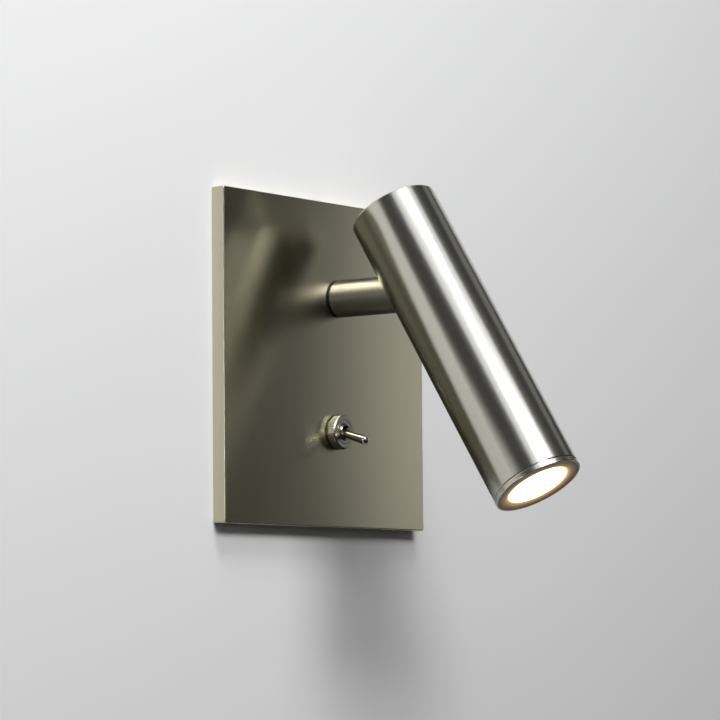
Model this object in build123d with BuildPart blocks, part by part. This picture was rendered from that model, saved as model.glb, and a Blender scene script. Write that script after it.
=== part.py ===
from build123d import *
from math import cos, radians, sin
import os

os.makedirs("parts", exist_ok=True)

# A bedside wall reading lamp: a square plate on the wall, a short round arm that swivels in it, and a
# cylindrical spotlight head that tilts on the arm's end, with a toggle switch low on the plate.
#
# Millimetres. The origin is on the wall at the centre of the plate: X to the right along the wall, Z up,
# and -Y out into the room. "Level" below means a distance off the wall: level 5.5 is y = -5.5.
# Plane.XZ faces the room, so Plane.XZ.offset(level) is a plane at that level, looking outwards.

# --- Fits shared by several pieces ---
thread_fit = 0.02        # radial gap between a screw and its thread
running_fit = 0.05       # radial gap of a turning or sliding fit
screw_hole_fit = 0.2     # radial gap of a plain screw hole
push_fit = 0.04          # radial gap of a pushed-in ring or disc
edge_break = 0.25        # small chamfer on turned edges

# --- Wall plate, a shallow pressed pan ---
plate_side = 120.0
plate_depth = 5.5        # wall to front face
plate_sheet = 1.5
plate_corner = 1.0       # outer radius of the four corners
plate_front_edge = 0.5   # rounding all round the front face

# --- Wall bracket inside the plate ---
bracket_sheet = 1.2
bracket_width = 92.0
bracket_gap = 0.4        # between the bracket's tabs and the plate's rim
bracket_corner = 3.0
opening_width = 48.0     # window for what reaches into the wall box
opening_height = 76.0
opening_corner = 2.0
wall_screw_spacing = 60.3
wall_slot_length = 8.0
wall_slot_width = 4.2
tab_width = 14.0
tab_height = 2.6         # folded tab, above the bracket's sheet
grub_radius = 1.25       # set screws that hold the plate on the tabs
grub_length = 4.2
grub_level = 2.4
grub_recess = 0.3        # screw end below the rim's face
hex_socket_grub = 0.75   # corner radius of its hex socket
socket_depth_grub = 1.5

# --- Swivel joint of the arm in the plate ---
arm_x = 7.5              # arm and switch stand right of the plate's centre line
arm_z = 24.5
arm_radius = 6.9
arm_wire_radius = 3.0    # wire way through the arm
tail_radius = 4.95       # threaded tail behind the plate
tail_flat = 4.1          # distance of the tail's flat from its axis
tail_spare = 1.5         # thread showing past the nut
bush_sleeve_radius = 6.0
bush_flange_radius = 6.6
bush_flange = 0.8        # the dark line between arm and plate
washer_radius = 9.0      # plain and keyed washers behind the plate
washer_thickness = 0.8
stop_washer_thickness = 1.2
stop_tab_width = 2.6
stop_tab_reach = 11.8    # tab end, from the swivel axis
stop_pin_radius = 1.25   # pin on the plate that the tab meets
stop_pin_height = 3.0
spring_washer_radius = 8.0
spring_washer_thickness = 0.5
spring_washer_dish = 0.7
swivel_nut_flats = 14.0
swivel_nut_thickness = 3.0
nut_chamfer = 0.4

# --- Arm end and tilt joint ---
pivot_level = 49.5       # tilt axis off the wall
shoulder_gap = 8.5       # arm's end face to the tilt axis
knuckle_stub_radius = 5.0
knuckle_stub_length = 8.0
tongue_thickness = 7.0
tongue_radius = 6.0
tongue_wire_radius = 1.6 # cross hole where the wires leave the arm
friction_washer_radius = 5.5
friction_washer_thickness = 0.5
friction_gap = 0.02      # each side of a friction washer
pivot_screw_radius = 2.0
pivot_head_radius = 3.5
pivot_head_height = 2.5
pivot_socket = 1.7
pivot_socket_depth = 1.5
pivot_nut_flats = 7.0
pivot_nut_thickness = 2.8
pivot_screw_spare = 0.6

# --- Head ---
head_tilt = 31.0         # lens end swung out from straight down, in degrees
head_radius = 16.5
head_above_pivot = 36.0
head_below_pivot = 84.5  # to the face of the lens ring
head_wall = 1.5          # tube wall below the step
head_neck_step = 0.5     # how much thicker the wall is above the step
head_step = 12.5         # step below the tilt axis, where the inner parts stop
head_slot_gap = 0.5      # each side of the arm in the head's slot
head_rim = 0.5           # chamfer round the top
cap_recess = 0.4
cap_thickness = 2.0
cap_skirt = 5.0
cap_wall = 1.5
cap_edge = 0.5
yoke_base = 4.5
cheek_screw_gap = 0.9    # cheek's outer face to the yoke screws' heads
cheek_foot = 9.0         # half width of a cheek at its foot
yoke_screw_inset = 3.5   # screw centres in from the tube's bore
yoke_screw_radius = 1.5
yoke_screw_length = 8.0
yoke_screw_head_radius = 2.6
yoke_screw_head_height = 1.6

# --- Heat sink and light engine in the head ---
sink_core = 6.5
sink_top = 5.0           # solid ring that takes the yoke's screws
sink_seat = 5.0          # solid disc behind the light engine
fin_count = 5
fin_thickness = 1.6
fin_inset = 0.6          # fin tips in from the end discs
sink_wire_radius = 2.5
board_radius = 10.0
board_thickness = 1.6
emitter_radius = 4.5
emitter_height = 0.9
board_screw_offset = 8.3
board_screw_radius = 1.0
board_screw_length = 4.0
board_screw_head_radius = 1.5
board_screw_head_height = 1.0
reflector_foot_radius = 5.2
reflector_wall = 0.8
reflector_rim = 1.0
board_to_rim = 11.0      # board face to the back of the reflector's rim
ring_face = 5.0          # width of the lens ring's flat face
ring_height = 2.1        # visible height of the lens ring
ring_lip = 1.6           # thickness of its face, in front of the lens's flange
ring_corner = 0.5
ring_skirt_length = 4.0
ring_skirt_wall = 1.75
lens_flange = 1.5
lens_recess = 0.1
lens_fit = 0.05          # radial gap round the lens
gasket_thickness = 0.8
gasket_width = 1.35

# --- Toggle switch ---
switch_x = 5.5
switch_z = -25.0
bushing_radius = 3.05
bushing_front = 9.9      # level of the bushing's mouth
bushing_bore = 2.0
bushing_mouth_radius = 2.5
bushing_mouth_depth = 1.2
bushing_bore_depth = 6.0
nut_radius = 6.4
nut_thickness = 3.7
nut_back_band = 1.6
nut_groove_width = 0.35
nut_groove_depth = 0.5
nut_front_chamfer = 0.6
knurl_count = 36
knurl_depth = 0.28
lock_washer_radius = 5.2
lock_washer_thickness = 0.5
lock_teeth = 8
lock_notch_radius = 0.6
back_nut_flats = 8.0
back_nut_thickness = 1.7
switch_gap = 0.8         # back nut to the switch's cover plate
switch_cover = 0.8
switch_width = 8.0
switch_height = 13.0
switch_body_depth = 10.0
switch_body_corner = 0.8
lug_pitch = 4.7
lug_width = 2.0
lug_thickness = 0.7
lug_length = 4.5
lug_hole_radius = 0.6
lever_angle = 17.0       # each way from straight out
lever_pivot_depth = 2.8  # ball centre behind the bushing's mouth
lever_ball_radius = 1.95
lever_foot_radius = 1.3
lever_tip_radius = 1.65
lever_reach = 10.4       # mouth to tip

# --- Driver, terminals and earth behind the plate ---
driver_x = -14.5
driver_z = 8.0
driver_width = 16.0
driver_length = 44.0
driver_depth = 20.0
driver_corner = 1.5
driver_ear = 7.0
driver_ear_thickness = 2.0
driver_screw_radius = 1.5
driver_screw_head_radius = 2.6
driver_screw_head_height = 1.4
driver_screw_bite = 1.0  # screw depth in the plate
terminal_z = -30.0
terminal_pitch = 5.4
terminal_poles = 3
terminal_height = 11.0
terminal_depth = 12.0
terminal_wire_radius = 1.5
terminal_well_radius = 1.9
terminal_well_depth = 3.6
terminal_screw_radius = 1.6
terminal_screw_height = 2.5
terminal_slot_width = 0.5
terminal_slot_depth = 0.8
earth_x = 15.0
earth_z = -4.0
earth_stud_radius = 2.0
earth_stud_length = 8.0
earth_tag_thickness = 0.8
earth_tag_radius = 3.6
earth_tag_blade = 11.0
earth_tag_width = 4.8
earth_nut_flats = 7.0
earth_nut_thickness = 3.2

# --- Places that follow from the sizes above ---
face_back = plate_depth - plate_sheet
cavity_side = plate_side - 2 * plate_sheet
bracket_height = cavity_side - 2 * bracket_gap
tab_centre = (bracket_height - bracket_sheet) / 2
bush_hole = bush_sleeve_radius + push_fit
tail_bore = tail_radius + running_fit
arm_foot = plate_depth + bush_flange
arm_shoulder = pivot_level - shoulder_gap
stop_washer_front = face_back - washer_thickness
spring_washer_front = stop_washer_front - stop_washer_thickness
swivel_nut_front = spring_washer_front - spring_washer_dish - spring_washer_thickness
tail_end = swivel_nut_front - swivel_nut_thickness - tail_spare
stop_pin_offset = washer_radius + stop_pin_radius + screw_hole_fit
head_bore = head_radius - head_wall
head_neck_bore = head_bore - head_neck_step
slot_radius = arm_radius + head_slot_gap
yoke_screw_offset = head_bore - yoke_screw_inset
lens_radius = head_radius - ring_face
ring_skirt_bore = head_bore - running_fit - ring_skirt_wall
lens_flange_radius = ring_skirt_bore - 2 * lens_fit
gasket_inner_radius = lens_flange_radius - gasket_width
cheek_inside = tongue_thickness / 2 + friction_washer_thickness + 2 * friction_gap
cheek_outside = yoke_screw_offset - yoke_screw_head_radius - cheek_screw_gap
cheek_thickness = cheek_outside - cheek_inside
tube_end = -head_below_pivot + ring_height
yoke_foot = -head_step - yoke_base
lens_face = -head_below_pivot + lens_recess
lens_shoulder = -head_below_pivot + ring_lip
lens_back = lens_shoulder + lens_flange
gasket_back = lens_back + gasket_thickness
rim_back = gasket_back + reflector_rim
board_face = rim_back + board_to_rim
sink_end = board_face + board_thickness
sink_length = yoke_foot - sink_end
lock_washer_front = face_back
back_nut_front = lock_washer_front - lock_washer_thickness
cover_front = back_nut_front - back_nut_thickness - switch_gap
switch_front = cover_front - switch_cover
switch_back = switch_front - switch_body_depth
nut_front = plate_depth + nut_thickness

arm_section = Plane(origin=(arm_x, 0, arm_z), x_dir=(1, 0, 0), z_dir=(0, 0, -1))
arm_axis = Axis((arm_x, 0, arm_z), (0, -1, 0))
switch_section = Plane(origin=(switch_x, 0, switch_z), x_dir=(1, 0, 0), z_dir=(0, 0, -1))
switch_axis = Axis((switch_x, 0, switch_z), (0, -1, 0))

# The head is drawn in its own planes: "up" runs from the lens to the top, through the tilt axis.
pivot = Vector(arm_x, -pivot_level, arm_z)
head_up = Vector(0, sin(radians(head_tilt)), cos(radians(head_tilt)))
head_level = Plane(origin=pivot, x_dir=(1, 0, 0), z_dir=head_up)
head_section = Plane(origin=pivot, x_dir=(1, 0, 0), z_dir=-head_level.y_dir)
head_side = Plane(origin=pivot, x_dir=head_level.y_dir, z_dir=(1, 0, 0))
head_axis = Axis(pivot, head_up)

# The lever's own plane, drawn as (radius, distance from the ball's centre).
lever_out = Vector(0, -cos(radians(lever_angle)), -sin(radians(lever_angle)))
lever_centre = Vector(switch_x, lever_pivot_depth - bushing_front, switch_z)
lever_axis = Axis(lever_centre, lever_out)
lever_up = Vector(0, -sin(radians(lever_angle)), cos(radians(lever_angle)))
lever_section = Plane(origin=lever_centre, x_dir=(1, 0, 0), z_dir=-lever_up)

# ---------------------------------------------------------------------------------------------------
# Wall plate and bracket
# ---------------------------------------------------------------------------------------------------

# A pressed pan: face and rim of one sheet, holes for the swivel and the switch, and a stop pin behind.
with BuildPart() as faceplate:
    with BuildSketch(Plane.XZ):
        RectangleRounded(plate_side, plate_side, plate_corner)
    extrude(amount=plate_depth)
    fillet(faceplate.faces().sort_by(Axis.Y)[0].edges(), plate_front_edge)
    with BuildSketch(Plane.XZ):
        Rectangle(cavity_side, cavity_side)
    extrude(amount=face_back, mode=Mode.SUBTRACT)
    with BuildSketch(Plane.XZ.offset(plate_depth)):
        with Locations((arm_x, arm_z)):
            Circle(bush_hole)
        with Locations((switch_x, switch_z)):
            Circle(bushing_radius + screw_hole_fit)
    extrude(amount=-plate_sheet, mode=Mode.SUBTRACT)
    with BuildSketch(Plane.XY):
        with Locations((0, -grub_level)):
            Circle(grub_radius + screw_hole_fit)
    extrude(amount=plate_side / 2, both=True, mode=Mode.SUBTRACT)
    with BuildSketch(Plane.XZ.offset(face_back)):
        with Locations((driver_x, driver_z)):
            with Locations((0, (driver_length + driver_ear) / 2), (0, -(driver_length + driver_ear) / 2)):
                Circle(driver_screw_radius + thread_fit)
    extrude(amount=driver_screw_bite, mode=Mode.SUBTRACT)
    with BuildSketch(Plane.XZ.offset(face_back)):
        with Locations((arm_x, arm_z - stop_pin_offset)):
            Circle(stop_pin_radius)
    extrude(amount=-stop_pin_height)
faceplate.part.label = "faceplate"
export_step(faceplate.part, "parts/faceplate.step")

# A flat steel frame screwed to the wall, with two folded tabs that the plate is fixed to.
with BuildPart() as wall_bracket:
    with BuildSketch(Plane.XZ):
        RectangleRounded(bracket_width, bracket_height, bracket_corner)
        RectangleRounded(opening_width, opening_height, opening_corner, mode=Mode.SUBTRACT)
        with GridLocations(wall_screw_spacing, 0, 2, 1):
            SlotOverall(wall_slot_length, wall_slot_width, mode=Mode.SUBTRACT)
    extrude(amount=bracket_sheet)
    with BuildSketch(Plane.XZ.offset(bracket_sheet)):
        with GridLocations(0, 2 * tab_centre, 1, 2):
            Rectangle(tab_width, bracket_sheet)
    extrude(amount=tab_height)
    with BuildSketch(Plane.XY):
        with Locations((0, -grub_level)):
            Circle(grub_radius + thread_fit)
    extrude(amount=plate_side / 2, both=True, mode=Mode.SUBTRACT)
wall_bracket.part.label = "wall_bracket"
export_step(wall_bracket.part, "parts/wall_bracket.step")

# Two set screws, one through the top of the rim and one through the bottom.
with BuildPart() as grub_screws:
    with BuildSketch(Plane.XY.offset(plate_side / 2 - grub_recess)):
        with Locations((0, -grub_level)):
            Circle(grub_radius)
    extrude(amount=-grub_length)
    with BuildSketch(Plane.XY.offset(plate_side / 2 - grub_recess)):
        with Locations((0, -grub_level)):
            RegularPolygon(hex_socket_grub, 6)
    extrude(amount=-socket_depth_grub, mode=Mode.SUBTRACT)
    mirror(about=Plane.XY)
grub_screws.part.label = "grub_screws"
export_step(grub_screws.part, "parts/grub_screws.step")

# ---------------------------------------------------------------------------------------------------
# Swivel joint
# ---------------------------------------------------------------------------------------------------

# A flanged plastic bush in the plate's upper hole.
with BuildPart() as swivel_bush:
    with BuildSketch(Plane.XZ.offset(face_back)):
        with Locations((arm_x, arm_z)):
            Circle(bush_sleeve_radius)
    extrude(amount=plate_sheet)
    with BuildSketch(Plane.XZ.offset(plate_depth)):
        with Locations((arm_x, arm_z)):
            Circle(bush_flange_radius)
    extrude(amount=bush_flange)
    with BuildSketch(Plane.XZ.offset(face_back)):
        with Locations((arm_x, arm_z)):
            Circle(tail_bore)
    extrude(amount=plate_sheet + bush_flange, mode=Mode.SUBTRACT)
swivel_bush.part.label = "swivel_bush"
export_step(swivel_bush.part, "parts/swivel_bush.step")

# A plain plastic washer between the plate's back and the keyed washer.
with BuildPart() as swivel_washer:
    with BuildSketch(Plane.XZ.offset(face_back)):
        with Locations((arm_x, arm_z)):
            Circle(washer_radius)
            Circle(tail_bore, mode=Mode.SUBTRACT)
    extrude(amount=-washer_thickness)
swivel_washer.part.label = "swivel_washer"
export_step(swivel_washer.part, "parts/swivel_washer.step")

# The keyed washer turns with the arm, and its tab stops at the plate's pin just short of a full turn.
with BuildPart() as stop_washer:
    with BuildSketch(Plane.XZ.offset(stop_washer_front)):
        with Locations((arm_x, arm_z)):
            Circle(washer_radius)
        with Locations((arm_x, arm_z + stop_tab_reach / 2)):
            Rectangle(stop_tab_width, stop_tab_reach)
        with Locations((arm_x, arm_z)):
            Circle(tail_radius + thread_fit, mode=Mode.SUBTRACT)
    extrude(amount=-stop_washer_thickness)
    key_height = tail_radius - tail_flat
    with BuildSketch(Plane.XZ.offset(stop_washer_front)):
        with Locations((arm_x, arm_z + tail_flat + thread_fit + key_height / 2)):
            Rectangle(tail_radius, key_height)
    extrude(amount=-stop_washer_thickness)
stop_washer.part.label = "stop_washer"
export_step(stop_washer.part, "parts/stop_washer.step")

# A dished spring washer that sets the swivel's friction.
with BuildPart() as spring_washer:
    with BuildSketch(arm_section):
        with BuildLine():
            dish_inner = tail_radius + running_fit
            Polyline(
                (dish_inner, spring_washer_front - spring_washer_dish),
                (spring_washer_radius, spring_washer_front),
                (spring_washer_radius, spring_washer_front - spring_washer_thickness),
                (dish_inner, swivel_nut_front),
                close=True,
            )
        make_face()
    revolve(axis=arm_axis)
spring_washer.part.label = "spring_washer"
export_step(spring_washer.part, "parts/spring_washer.step")

# A thin hexagon nut on the arm's tail.
with BuildPart() as swivel_nut:
    with BuildSketch(Plane.XZ.offset(swivel_nut_front)):
        with Locations((arm_x, arm_z)):
            RegularPolygon(swivel_nut_flats / 2, 6, major_radius=False)
            Circle(tail_radius + thread_fit, mode=Mode.SUBTRACT)
    extrude(amount=-swivel_nut_thickness)
    chamfer(swivel_nut.faces().sort_by(Axis.Y)[-1].edges().filter_by(GeomType.CIRCLE), nut_chamfer)
swivel_nut.part.label = "swivel_nut"
export_step(swivel_nut.part, "parts/swivel_nut.step")

# ---------------------------------------------------------------------------------------------------
# Arm
# ---------------------------------------------------------------------------------------------------

# One turned bar: threaded tail with a flat, foot on the bush, bored through for the wires.
with BuildPart() as arm:
    with BuildSketch(arm_section):
        with BuildLine():
            socket_radius = knuckle_stub_radius + push_fit
            Polyline(
                (arm_wire_radius, tail_end),
                (tail_radius - edge_break, tail_end),
                (tail_radius, tail_end + edge_break),
                (tail_radius, arm_foot),
                (arm_radius, arm_foot),
                (arm_radius, arm_shoulder - edge_break),
                (arm_radius - edge_break, arm_shoulder),
                (socket_radius, arm_shoulder),
                (socket_radius, arm_shoulder - knuckle_stub_length),
                (arm_wire_radius, arm_shoulder - knuckle_stub_length),
                close=True,
            )
        make_face()
    revolve(axis=arm_axis)
    with BuildSketch(Plane.XZ.offset(stop_washer_front)):
        with Locations((arm_x, arm_z + tail_flat + tail_radius / 2)):
            Rectangle(2 * tail_radius, tail_radius)
    extrude(amount=tail_end - stop_washer_front, mode=Mode.SUBTRACT)
arm.part.label = "arm"
export_step(arm.part, "parts/arm.step")

# The arm's end piece: a stub in the arm's socket and a flat tongue that the head is clamped on.
with BuildPart() as arm_knuckle:
    with BuildSketch(Plane.XZ.offset(arm_shoulder)):
        with Locations((arm_x, arm_z)):
            Circle(knuckle_stub_radius)
    extrude(amount=-knuckle_stub_length)
    with BuildSketch(Plane.YZ.offset(arm_x)):
        with Locations((-(arm_shoulder + pivot_level) / 2, arm_z)):
            Rectangle(shoulder_gap, 2 * tongue_radius)
        with Locations((-pivot_level, arm_z)):
            Circle(tongue_radius)
    extrude(amount=tongue_thickness / 2, both=True)
    with BuildSketch(Plane.YZ.offset(arm_x)):
        with Locations((-pivot_level, arm_z)):
            Circle(pivot_screw_radius + running_fit)
        with Locations((-(arm_shoulder + tongue_wire_radius), arm_z)):
            Circle(tongue_wire_radius)
    extrude(amount=tongue_thickness, both=True, mode=Mode.SUBTRACT)
    with BuildSketch(Plane.XZ.offset(arm_shoulder - knuckle_stub_length)):
        with Locations((arm_x, arm_z)):
            Circle(tongue_wire_radius)
    extrude(amount=knuckle_stub_length + tongue_wire_radius, mode=Mode.SUBTRACT)
arm_knuckle.part.label = "arm_knuckle"
export_step(arm_knuckle.part, "parts/arm_knuckle.step")

# ---------------------------------------------------------------------------------------------------
# Tilt joint and head
# ---------------------------------------------------------------------------------------------------

# The head's shell: a tube slotted at the back from the tilt axis to the top, so that the arm can pass
# from square to the head to straight out of its end. Inside, a step stops the yoke.
with BuildPart() as head_tube:
    with BuildSketch(head_level.offset(tube_end)):
        Circle(head_radius)
    extrude(amount=head_above_pivot - tube_end)
    chamfer(head_tube.edges().filter_by(GeomType.CIRCLE).sort_by(head_axis)[-1], head_rim)
    chamfer(head_tube.edges().filter_by(GeomType.CIRCLE).sort_by(head_axis)[0], edge_break)
    with BuildSketch(head_level.offset(tube_end)):
        Circle(head_neck_bore)
    extrude(amount=head_above_pivot - tube_end, mode=Mode.SUBTRACT)
    with BuildSketch(head_level.offset(tube_end)):
        Circle(head_bore)
    extrude(amount=-head_step - tube_end, mode=Mode.SUBTRACT)
    with BuildSketch(head_section):
        Circle(slot_radius)
        with Locations((0, head_above_pivot / 2)):
            Rectangle(2 * slot_radius, head_above_pivot)
    extrude(amount=-head_radius, mode=Mode.SUBTRACT)
head_tube.part.label = "head_tube"
export_step(head_tube.part, "parts/head_tube.step")

# The cap pushed into the head's top, with a notch that continues the slot.
with BuildPart() as end_cap:
    with BuildSketch(head_level.offset(head_above_pivot - cap_recess)):
        Circle(head_neck_bore - push_fit)
    extrude(amount=-cap_thickness - cap_skirt)
    chamfer(end_cap.edges().filter_by(GeomType.CIRCLE).sort_by(head_axis)[-1], cap_edge)
    with BuildSketch(head_level.offset(head_above_pivot - cap_recess - cap_thickness)):
        Circle(head_neck_bore - push_fit - cap_wall)
    extrude(amount=-cap_skirt, mode=Mode.SUBTRACT)
    with BuildSketch(head_level.offset(head_above_pivot)):
        Circle(slot_radius)
        with Locations((0, head_radius / 2)):
            Rectangle(2 * slot_radius, head_radius)
    extrude(amount=-cap_recess - cap_thickness - cap_skirt, mode=Mode.SUBTRACT)
end_cap.part.label = "end_cap"
export_step(end_cap.part, "parts/end_cap.step")

# A die-cast yoke: a disc against the step and two cheeks that grip the tongue.
with BuildPart() as pivot_yoke:
    with BuildSketch(head_level.offset(-head_step)):
        Circle(head_bore - running_fit)
        Circle(sink_wire_radius, mode=Mode.SUBTRACT)
        with GridLocations(2 * yoke_screw_offset, 0, 2, 1):
            Circle(yoke_screw_radius + screw_hole_fit, mode=Mode.SUBTRACT)
    extrude(amount=-yoke_base)
    for side in (-1, 1):
        with BuildSketch(head_side.offset(side * cheek_inside)):
            Polygon(
                (-cheek_foot, -head_step),
                (cheek_foot, -head_step),
                (tongue_radius, 0),
                (-tongue_radius, 0),
                align=None,
            )
            Circle(tongue_radius)
            Circle(pivot_screw_radius + running_fit, mode=Mode.SUBTRACT)
        extrude(amount=side * cheek_thickness)
pivot_yoke.part.label = "pivot_yoke"
export_step(pivot_yoke.part, "parts/pivot_yoke.step")

# A screw through both cheeks and the tongue, with a socket head.
with BuildPart() as pivot_screw:
    with BuildSketch(head_side.offset(-cheek_outside)):
        Circle(pivot_screw_radius)
    extrude(amount=2 * cheek_outside + pivot_nut_thickness + pivot_screw_spare)
    with BuildSketch(head_side.offset(-cheek_outside)):
        Circle(pivot_head_radius)
    extrude(amount=-pivot_head_height)
    chamfer(pivot_screw.faces().sort_by(Axis.X)[0].edges(), edge_break)
    with BuildSketch(head_side.offset(-cheek_outside - pivot_head_height)):
        RegularPolygon(pivot_socket, 6)
    extrude(amount=pivot_socket_depth, mode=Mode.SUBTRACT)
pivot_screw.part.label = "pivot_screw"
export_step(pivot_screw.part, "parts/pivot_screw.step")

# The nut on the pivot screw.
with BuildPart() as pivot_nut:
    with BuildSketch(head_side.offset(cheek_outside)):
        RegularPolygon(pivot_nut_flats / 2, 6, major_radius=False)
        Circle(pivot_screw_radius + thread_fit, mode=Mode.SUBTRACT)
    extrude(amount=pivot_nut_thickness)
pivot_nut.part.label = "pivot_nut"
export_step(pivot_nut.part, "parts/pivot_nut.step")

# Two plastic washers that give the tilt its steady friction.
with BuildPart() as friction_washers:
    for side in (-1, 1):
        with BuildSketch(head_side.offset(side * (cheek_inside - friction_gap))):
            Circle(friction_washer_radius)
            Circle(pivot_screw_radius + running_fit, mode=Mode.SUBTRACT)
        extrude(amount=-side * friction_washer_thickness)
friction_washers.part.label = "friction_washers"
export_step(friction_washers.part, "parts/friction_washers.step")

# A turned heat sink: end discs and thin fins on one core, bored for the wires.
with BuildPart() as heat_sink:
    with BuildSketch(head_level.offset(yoke_foot)):
        Circle(sink_core)
    extrude(amount=-sink_length)
    with BuildSketch(head_level.offset(yoke_foot)):
        Circle(head_bore - running_fit)
    extrude(amount=-sink_top)
    with BuildSketch(head_level.offset(sink_end)):
        Circle(head_bore - running_fit)
    extrude(amount=sink_seat)
    fin_pitch = (sink_length - sink_top - sink_seat) / (fin_count + 1)
    for fin in range(1, fin_count + 1):
        with BuildSketch(head_level.offset(yoke_foot - sink_top - fin * fin_pitch)):
            Circle(head_bore - running_fit - fin_inset)
        extrude(amount=fin_thickness / 2, both=True)
    with BuildSketch(head_level.offset(yoke_foot)):
        Circle(sink_wire_radius)
    extrude(amount=-sink_length, mode=Mode.SUBTRACT)
    with BuildSketch(head_level.offset(yoke_foot)):
        with GridLocations(2 * yoke_screw_offset, 0, 2, 1):
            Circle(yoke_screw_radius + thread_fit)
    extrude(amount=-sink_top, mode=Mode.SUBTRACT)
    with BuildSketch(head_level.offset(sink_end)):
        with GridLocations(2 * board_screw_offset, 0, 2, 1):
            Circle(board_screw_radius + thread_fit)
    extrude(amount=sink_seat, mode=Mode.SUBTRACT)
heat_sink.part.label = "heat_sink"
export_step(heat_sink.part, "parts/heat_sink.step")

# Two screws that clamp the yoke on the heat sink.
with BuildPart() as yoke_screws:
    with BuildSketch(head_level.offset(-head_step)):
        with GridLocations(2 * yoke_screw_offset, 0, 2, 1):
            Circle(yoke_screw_radius)
    extrude(amount=-yoke_screw_length)
    with BuildSketch(head_level.offset(-head_step)):
        with GridLocations(2 * yoke_screw_offset, 0, 2, 1):
            Circle(yoke_screw_head_radius)
    extrude(amount=yoke_screw_head_height)
yoke_screws.part.label = "yoke_screws"
export_step(yoke_screws.part, "parts/yoke_screws.step")

# The light engine's round metal-core board, screwed to the heat sink's seat.
with BuildPart() as led_board:
    with BuildSketch(head_level.offset(sink_end)):
        Circle(board_radius)
        with GridLocations(2 * board_screw_offset, 0, 2, 1):
            Circle(board_screw_radius + screw_hole_fit, mode=Mode.SUBTRACT)
    extrude(amount=-board_thickness)
led_board.part.label = "led_board"
export_step(led_board.part, "parts/led_board.step")

# The emitter on the board.
with BuildPart() as led_emitter:
    with BuildSketch(head_level.offset(board_face)):
        Circle(emitter_radius)
    extrude(amount=-emitter_height)
led_emitter.part.label = "led_emitter"
export_step(led_emitter.part, "parts/led_emitter.step")

# Two small screws in the board, outside the reflector's foot.
with BuildPart() as board_screws:
    with BuildSketch(head_level.offset(board_face)):
        with GridLocations(2 * board_screw_offset, 0, 2, 1):
            Circle(board_screw_radius)
    extrude(amount=board_screw_length)
    with BuildSketch(head_level.offset(board_face)):
        with GridLocations(2 * board_screw_offset, 0, 2, 1):
            Circle(board_screw_head_radius)
    extrude(amount=-board_screw_head_height)
board_screws.part.label = "board_screws"
export_step(board_screws.part, "parts/board_screws.step")

# A conical reflector from the board to the lens, with a flat rim.
with BuildPart() as reflector:
    with BuildSketch(head_section):
        with BuildLine():
            Polyline(
                (reflector_foot_radius, board_face),
                (gasket_inner_radius - reflector_wall, gasket_back),
                (lens_flange_radius, gasket_back),
                (lens_flange_radius, rim_back),
                (gasket_inner_radius, rim_back),
                (reflector_foot_radius + reflector_wall, board_face),
                close=True,
            )
        make_face()
    revolve(axis=head_axis)
reflector.part.label = "reflector"
export_step(reflector.part, "parts/reflector.step")

# A soft ring between the reflector and the lens.
with BuildPart() as lens_gasket:
    with BuildSketch(head_level.offset(gasket_back)):
        Circle(lens_flange_radius)
        Circle(gasket_inner_radius, mode=Mode.SUBTRACT)
    extrude(amount=-gasket_thickness)
lens_gasket.part.label = "lens_gasket"
export_step(lens_gasket.part, "parts/lens_gasket.step")

# The diffusing lens: a flange behind the ring and a disc that fills the ring's opening.
with BuildPart() as front_lens:
    with BuildSketch(head_level.offset(lens_back)):
        Circle(lens_flange_radius)
    extrude(amount=-lens_flange)
    with BuildSketch(head_level.offset(lens_shoulder)):
        Circle(lens_radius - lens_fit)
    extrude(amount=lens_face - lens_shoulder)
front_lens.part.label = "front_lens"
export_step(front_lens.part, "parts/front_lens.step")

# The ring round the lens, with a skirt that goes up into the tube.
with BuildPart() as lens_ring:
    with BuildSketch(head_section):
        with BuildLine():
            Polyline(
                (lens_radius, -head_below_pivot),
                (head_radius, -head_below_pivot),
                (head_radius, tube_end - edge_break),
                (head_radius - edge_break, tube_end),
                (head_bore - running_fit, tube_end),
                (head_bore - running_fit, tube_end + ring_skirt_length),
                (ring_skirt_bore, tube_end + ring_skirt_length),
                (ring_skirt_bore, lens_shoulder),
                (lens_radius, lens_shoulder),
                close=True,
            )
        make_face()
    revolve(axis=head_axis)
    face_edges = lens_ring.edges().filter_by(GeomType.CIRCLE).group_by(head_axis)[0]
    fillet(face_edges.sort_by(SortBy.RADIUS)[-1], ring_corner)
lens_ring.part.label = "lens_ring"
export_step(lens_ring.part, "parts/lens_ring.step")

# ---------------------------------------------------------------------------------------------------
# Toggle switch
# ---------------------------------------------------------------------------------------------------

# The threaded bushing stands through the plate; its cover plate holds the switch's body together.
with BuildPart() as switch_bushing:
    with BuildSketch(switch_section):
        with BuildLine():
            mouth_floor = bushing_front - bushing_mouth_depth
            bore_floor = bushing_front - bushing_bore_depth
            Polyline(
                (0, switch_front),
                (bushing_radius, switch_front),
                (bushing_radius, bushing_front - edge_break),
                (bushing_radius - edge_break, bushing_front),
                (bushing_mouth_radius, bushing_front),
                (bushing_bore, mouth_floor),
                (bushing_bore, bore_floor),
                (0, bore_floor),
                close=True,
            )
        make_face()
    revolve(axis=switch_axis)
    with BuildSketch(Plane.XZ.offset(switch_front)):
        with Locations((switch_x, switch_z)):
            Rectangle(switch_width, switch_height)
    extrude(amount=switch_cover)
switch_bushing.part.label = "switch_bushing"
export_step(switch_bushing.part, "parts/switch_bushing.step")

# The moulded body behind the cover plate.
with BuildPart() as switch_body:
    with BuildSketch(Plane.XZ.offset(switch_front)):
        with Locations((switch_x, switch_z)):
            Rectangle(switch_width, switch_height)
    extrude(amount=-switch_body_depth)
    fillet(switch_body.edges().filter_by(Axis.Y), switch_body_corner)
switch_body.part.label = "switch_body"
export_step(switch_body.part, "parts/switch_body.step")

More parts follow.
